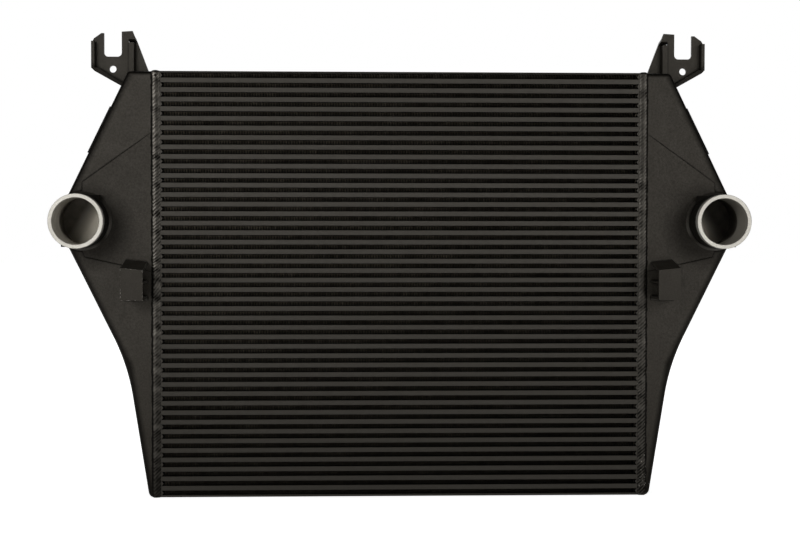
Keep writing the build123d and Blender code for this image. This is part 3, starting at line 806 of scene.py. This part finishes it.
def bead_section(station, side):
    """Section of a bead from the core to the tank: X, height and gloss of each point."""
    _, z, _, _, length = station
    full_height = front_y - weld_low[1]
    stray_core = BEAD_WANDER * (0.5 + 0.5 * swing(length, CORE_EDGE_RUN, 7 + side, 0))
    stray_tank = BEAD_WANDER * (0.5 + 0.5 * swing(length, TANK_EDGE_RUN, 3 + side, 0))
    start = weld_low[0] + stray_core
    end = weld_high[0] - stray_tank
    lumps = 1 - LUMP_SHARE + LUMP_SHARE * swing(length, LUMP_RUN, side, 1)
    section = [(start, -BEAD_SINK, 1.0)]
    for across, height in BEAD_PROFILE:
        valley = ripple_strength(z, side) * (1 - ripple(length, across, side))
        rise = full_height * height * lumps - RIPPLE_HEIGHT * valley * min(1.0, 3 * height)
        rise = min(max(rise, -BEAD_SINK), full_height)
        section.append((start + (end - start) * across, rise, crest_shine(station, across, side)))
    section.append((end, -BEAD_LIP, 0.0))
    section.append((weld_high[0], -BEAD_SKIRT, 0.0))
    return section


def seam_bead(name, side, material):
    """Rippled bead along the seam between the core and one tank, closed round the core's end."""
    stations = loop_stations()
    points = []
    crests = []
    for station in stations:
        y, z, ny, nz, _ = station
        for x, rise, shine in bead_section(station, side):
            if nz < 0 and z + nz * rise < BEAD_FLOOR_GAP:
                rise = min(rise, z - BEAD_FLOOR_GAP)
            points.append((side * x, y + ny * rise, z + nz * rise))
            crests.append(shine)
    lanes = len(BEAD_PROFILE) + 3
    faces = []
    for i in range(len(stations)):
        here = i * lanes
        there = (i + 1) % len(stations) * lanes
        for lane in range(lanes - 1):
            quad = (here + lane, here + lane + 1, there + lane + 1, there + lane)
            faces.append(quad if side == RIGHT else quad[::-1])
    bead = add_mesh(name, points, faces, material)
    # the crest attribute carries the bead's painted highlights and painted shade
    bead.data.attributes.new("crest", "FLOAT", "POINT").data.foreach_set("value", crests)
    return bead


# ================================================================ finish of each node
tank_finish = tank_paint()
bar_paint = painted(
    "bar_paint", BAR_GREY, sheen=BAR_SHEEN, patches=0.08, grain=0.9 * MM, grain_depth=0.03 * MM,
    mottle=0.10,
)
# the sheets' paint is darker as painted shade
sheet_paint = painted("sheet_paint", SHADED_SHEET_GREY, sheen=SHADED_SHEET_SHEEN, patches=0.08, grain=0.9 * MM)
bracket_finish = bracket_paint()
weld_paint = painted("weld_paint", WELD_GREY, grain=0.8 * MM, mottle=0.10, roughness=0.34)
seam_paint = bead_paint()
fin_black = fin_paint()
pipe_finish = pipe_metal()

FINISH = {
    "core_top_plate": sheet_paint,
    "core_bottom_plate": bar_paint,
    "separator_plates": sheet_paint,
    "front_charge_bars": bar_paint,
    "rear_charge_bars": bar_paint,
    "cooling_fins": fin_black,
    "charge_turbulators": fin_black,
}
for side_name in ("left", "right"):
    FINISH[f"{side_name}_end_bars"] = bar_paint
    FINISH[f"{side_name}_tank"] = tank_finish
    FINISH[f"{side_name}_pipe"] = pipe_finish
    FINISH[f"{side_name}_hook_bracket"] = bracket_finish
    FINISH[f"{side_name}_stop_bracket"] = bracket_finish
    FINISH[f"{side_name}_tank_weld"] = weld_paint
    FINISH[f"{side_name}_fitting_welds"] = weld_paint

for node_name, finish in FINISH.items():
    data = nodes[node_name].data
    data.materials.clear()
    data.materials.append(finish)

fin_pieces = {
    "fin_strips_1": range(FIN_ROWS_IN_FIRST_PIECE),
    "fin_strips_2": range(FIN_ROWS_IN_FIRST_PIECE, FIN_ROWS),
}
for piece_name, rows in fin_pieces.items():
    strips = fin_strips(piece_name, rows, fin_black)
    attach(strips, "root")
    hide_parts("cooling_fins")

for side_name, side in (("left", LEFT), ("right", RIGHT)):
    bead = seam_bead(f"{side_name}_seam_bead", side, seam_paint)
    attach(bead, "root")
    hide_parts(f"{side_name}_tank_weld")


# ================================================================ camera
CAMERA_PLACE = (-0.0870, front_y - 2.2480, pipe_z + 0.0024)
CAMERA_YAW = 0.0382            # radians, towards +X
CAMERA_PITCH = 0.0293          # downwards
CAMERA_ROLL = 0.0011
SENSOR_WIDTH = 36              # millimetres, as the next one
FOCAL_LENGTH = 72


def photo_camera():
    camera = bpy.data.objects.new("camera", bpy.data.cameras.new("camera"))
    bpy.context.scene.collection.objects.link(camera)
    camera.matrix_world = (
        Matrix.Translation(CAMERA_PLACE)
        @ Matrix.Rotation(-CAMERA_YAW, 4, "Z")
        @ Matrix.Rotation(pi / 2 - CAMERA_PITCH, 4, "X")
        @ Matrix.Rotation(CAMERA_ROLL, 4, "Z")
    )
    camera.data.sensor_fit = "HORIZONTAL"
    camera.data.sensor_width = SENSOR_WIDTH
    camera.data.lens = FOCAL_LENGTH
    bpy.context.scene.camera = camera


# ================================================================ light and floor
AMBIENT = 0.09                 # the world's strength as a source of light
BACKDROP = (0.8, 0.98)         # Y of the directions between which reflections turn white
LAMP_TARGET = (0, front_y, 0.35)
FLOOR_REACH = 12.0
FLOOR_WHITE = (0.82, 0.82, 0.81)
SHADOW_REACH = 0.35            # within this distance of the core's foot the shadow shows
SHADOW_LIFT = 0.84             # how far the floor is lifted towards white there

# Name, place, width, height and power in watts.
LAMPS = (
    ("panel_left", (-1.60, -2.9, 1.30), 1.5, 1.3, 40),
    ("panel_right", (1.75, -2.9, 1.25), 1.5, 1.3, 28),
    ("fill_back", (0, 3.0, 1.6), 3.0, 2.0, 14),
)


def soft_box(name, place, width, height, power):
    lamp = bpy.data.lights.new(name, "AREA")
    lamp.shape = "RECTANGLE"
    lamp.size = width
    lamp.size_y = height
    lamp.energy = power
    holder = bpy.data.objects.new(name, lamp)
    bpy.context.scene.collection.objects.link(holder)
    holder.location = place
    aim = Vector(LAMP_TARGET) - Vector(place)
    holder.rotation_euler = aim.to_track_quat("-Z", "Y").to_euler()


def studio_world():
    """White wherever the camera looks, and behind the part for reflections; dim as a light."""
    world = bpy.data.worlds.new("studio")
    bpy.context.scene.world = world
    world.use_nodes = True
    graph = Graph(world.node_tree)
    background = graph.tree.nodes["Background"]
    background.inputs["Color"].default_value = (1, 1, 1, 1)
    ray = graph.node("ShaderNodeLightPath").outputs
    direction = graph.parts(graph.node("ShaderNodeTexCoord").outputs["Generated"])
    reflected = graph.larger(ray["Is Glossy Ray"], ray["Is Transmission Ray"])
    reflected = graph.times(reflected, graph.span(direction[1], *BACKDROP))
    white = graph.larger(ray["Is Camera Ray"], reflected)
    graph.link(graph.span(white, 0.0, 1.0, AMBIENT, 1.0), background.inputs["Strength"])


def pale_floor():
    """White seamless floor: the camera sees it lifted to white, less so beside the part's foot."""
    shader = Shader("pale_floor", roughness=0.9)
    shader.surface.inputs["Base Color"].default_value = (*FLOOR_WHITE, 1)
    x, y, _ = shader.coordinates()
    beside = shader.larger(shader.minus(shader.math("ABSOLUTE", x), core_end_x), 0.0)
    away = shader.larger(shader.minus(shader.math("ABSOLUTE", y), rear_y), 0.0)
    lift = shader.span(shader.hypotenuse(beside, away), 0.0, SHADOW_REACH, SHADOW_LIFT, 1.0)
    ray = shader.node("ShaderNodeLightPath").outputs
    seen = shader.larger(ray["Is Camera Ray"], ray["Is Glossy Ray"])
    glow = shader.node("ShaderNodeEmission")
    shader.link(shader.times(seen, lift), glow.inputs["Strength"])
    both = shader.node("ShaderNodeAddShader")
    shader.link(shader.surface.outputs["BSDF"], both.inputs[0])
    shader.link(glow.outputs["Emission"], both.inputs[1])
    shader.link(both.outputs["Shader"], shader.tree.nodes["Material Output"].inputs["Surface"])
    signs = ((-1, -1), (1, -1), (1, 1), (-1, 1))
    corners = [(x * FLOOR_REACH, y * FLOOR_REACH, 0) for x, y in signs]
    return add_mesh("floor", corners, [(0, 1, 2, 3)], shader.material)


photo_camera()
for lamp in LAMPS:
    soft_box(*lamp)
studio_world()
pale_floor()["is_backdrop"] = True

bpy.context.scene.view_settings.view_transform = "Standard"

sizes = {"cad": cad_box, "visual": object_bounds()}
sizes = {key: [[float(n) for n in corner] for corner in box] for key, box in sizes.items()}
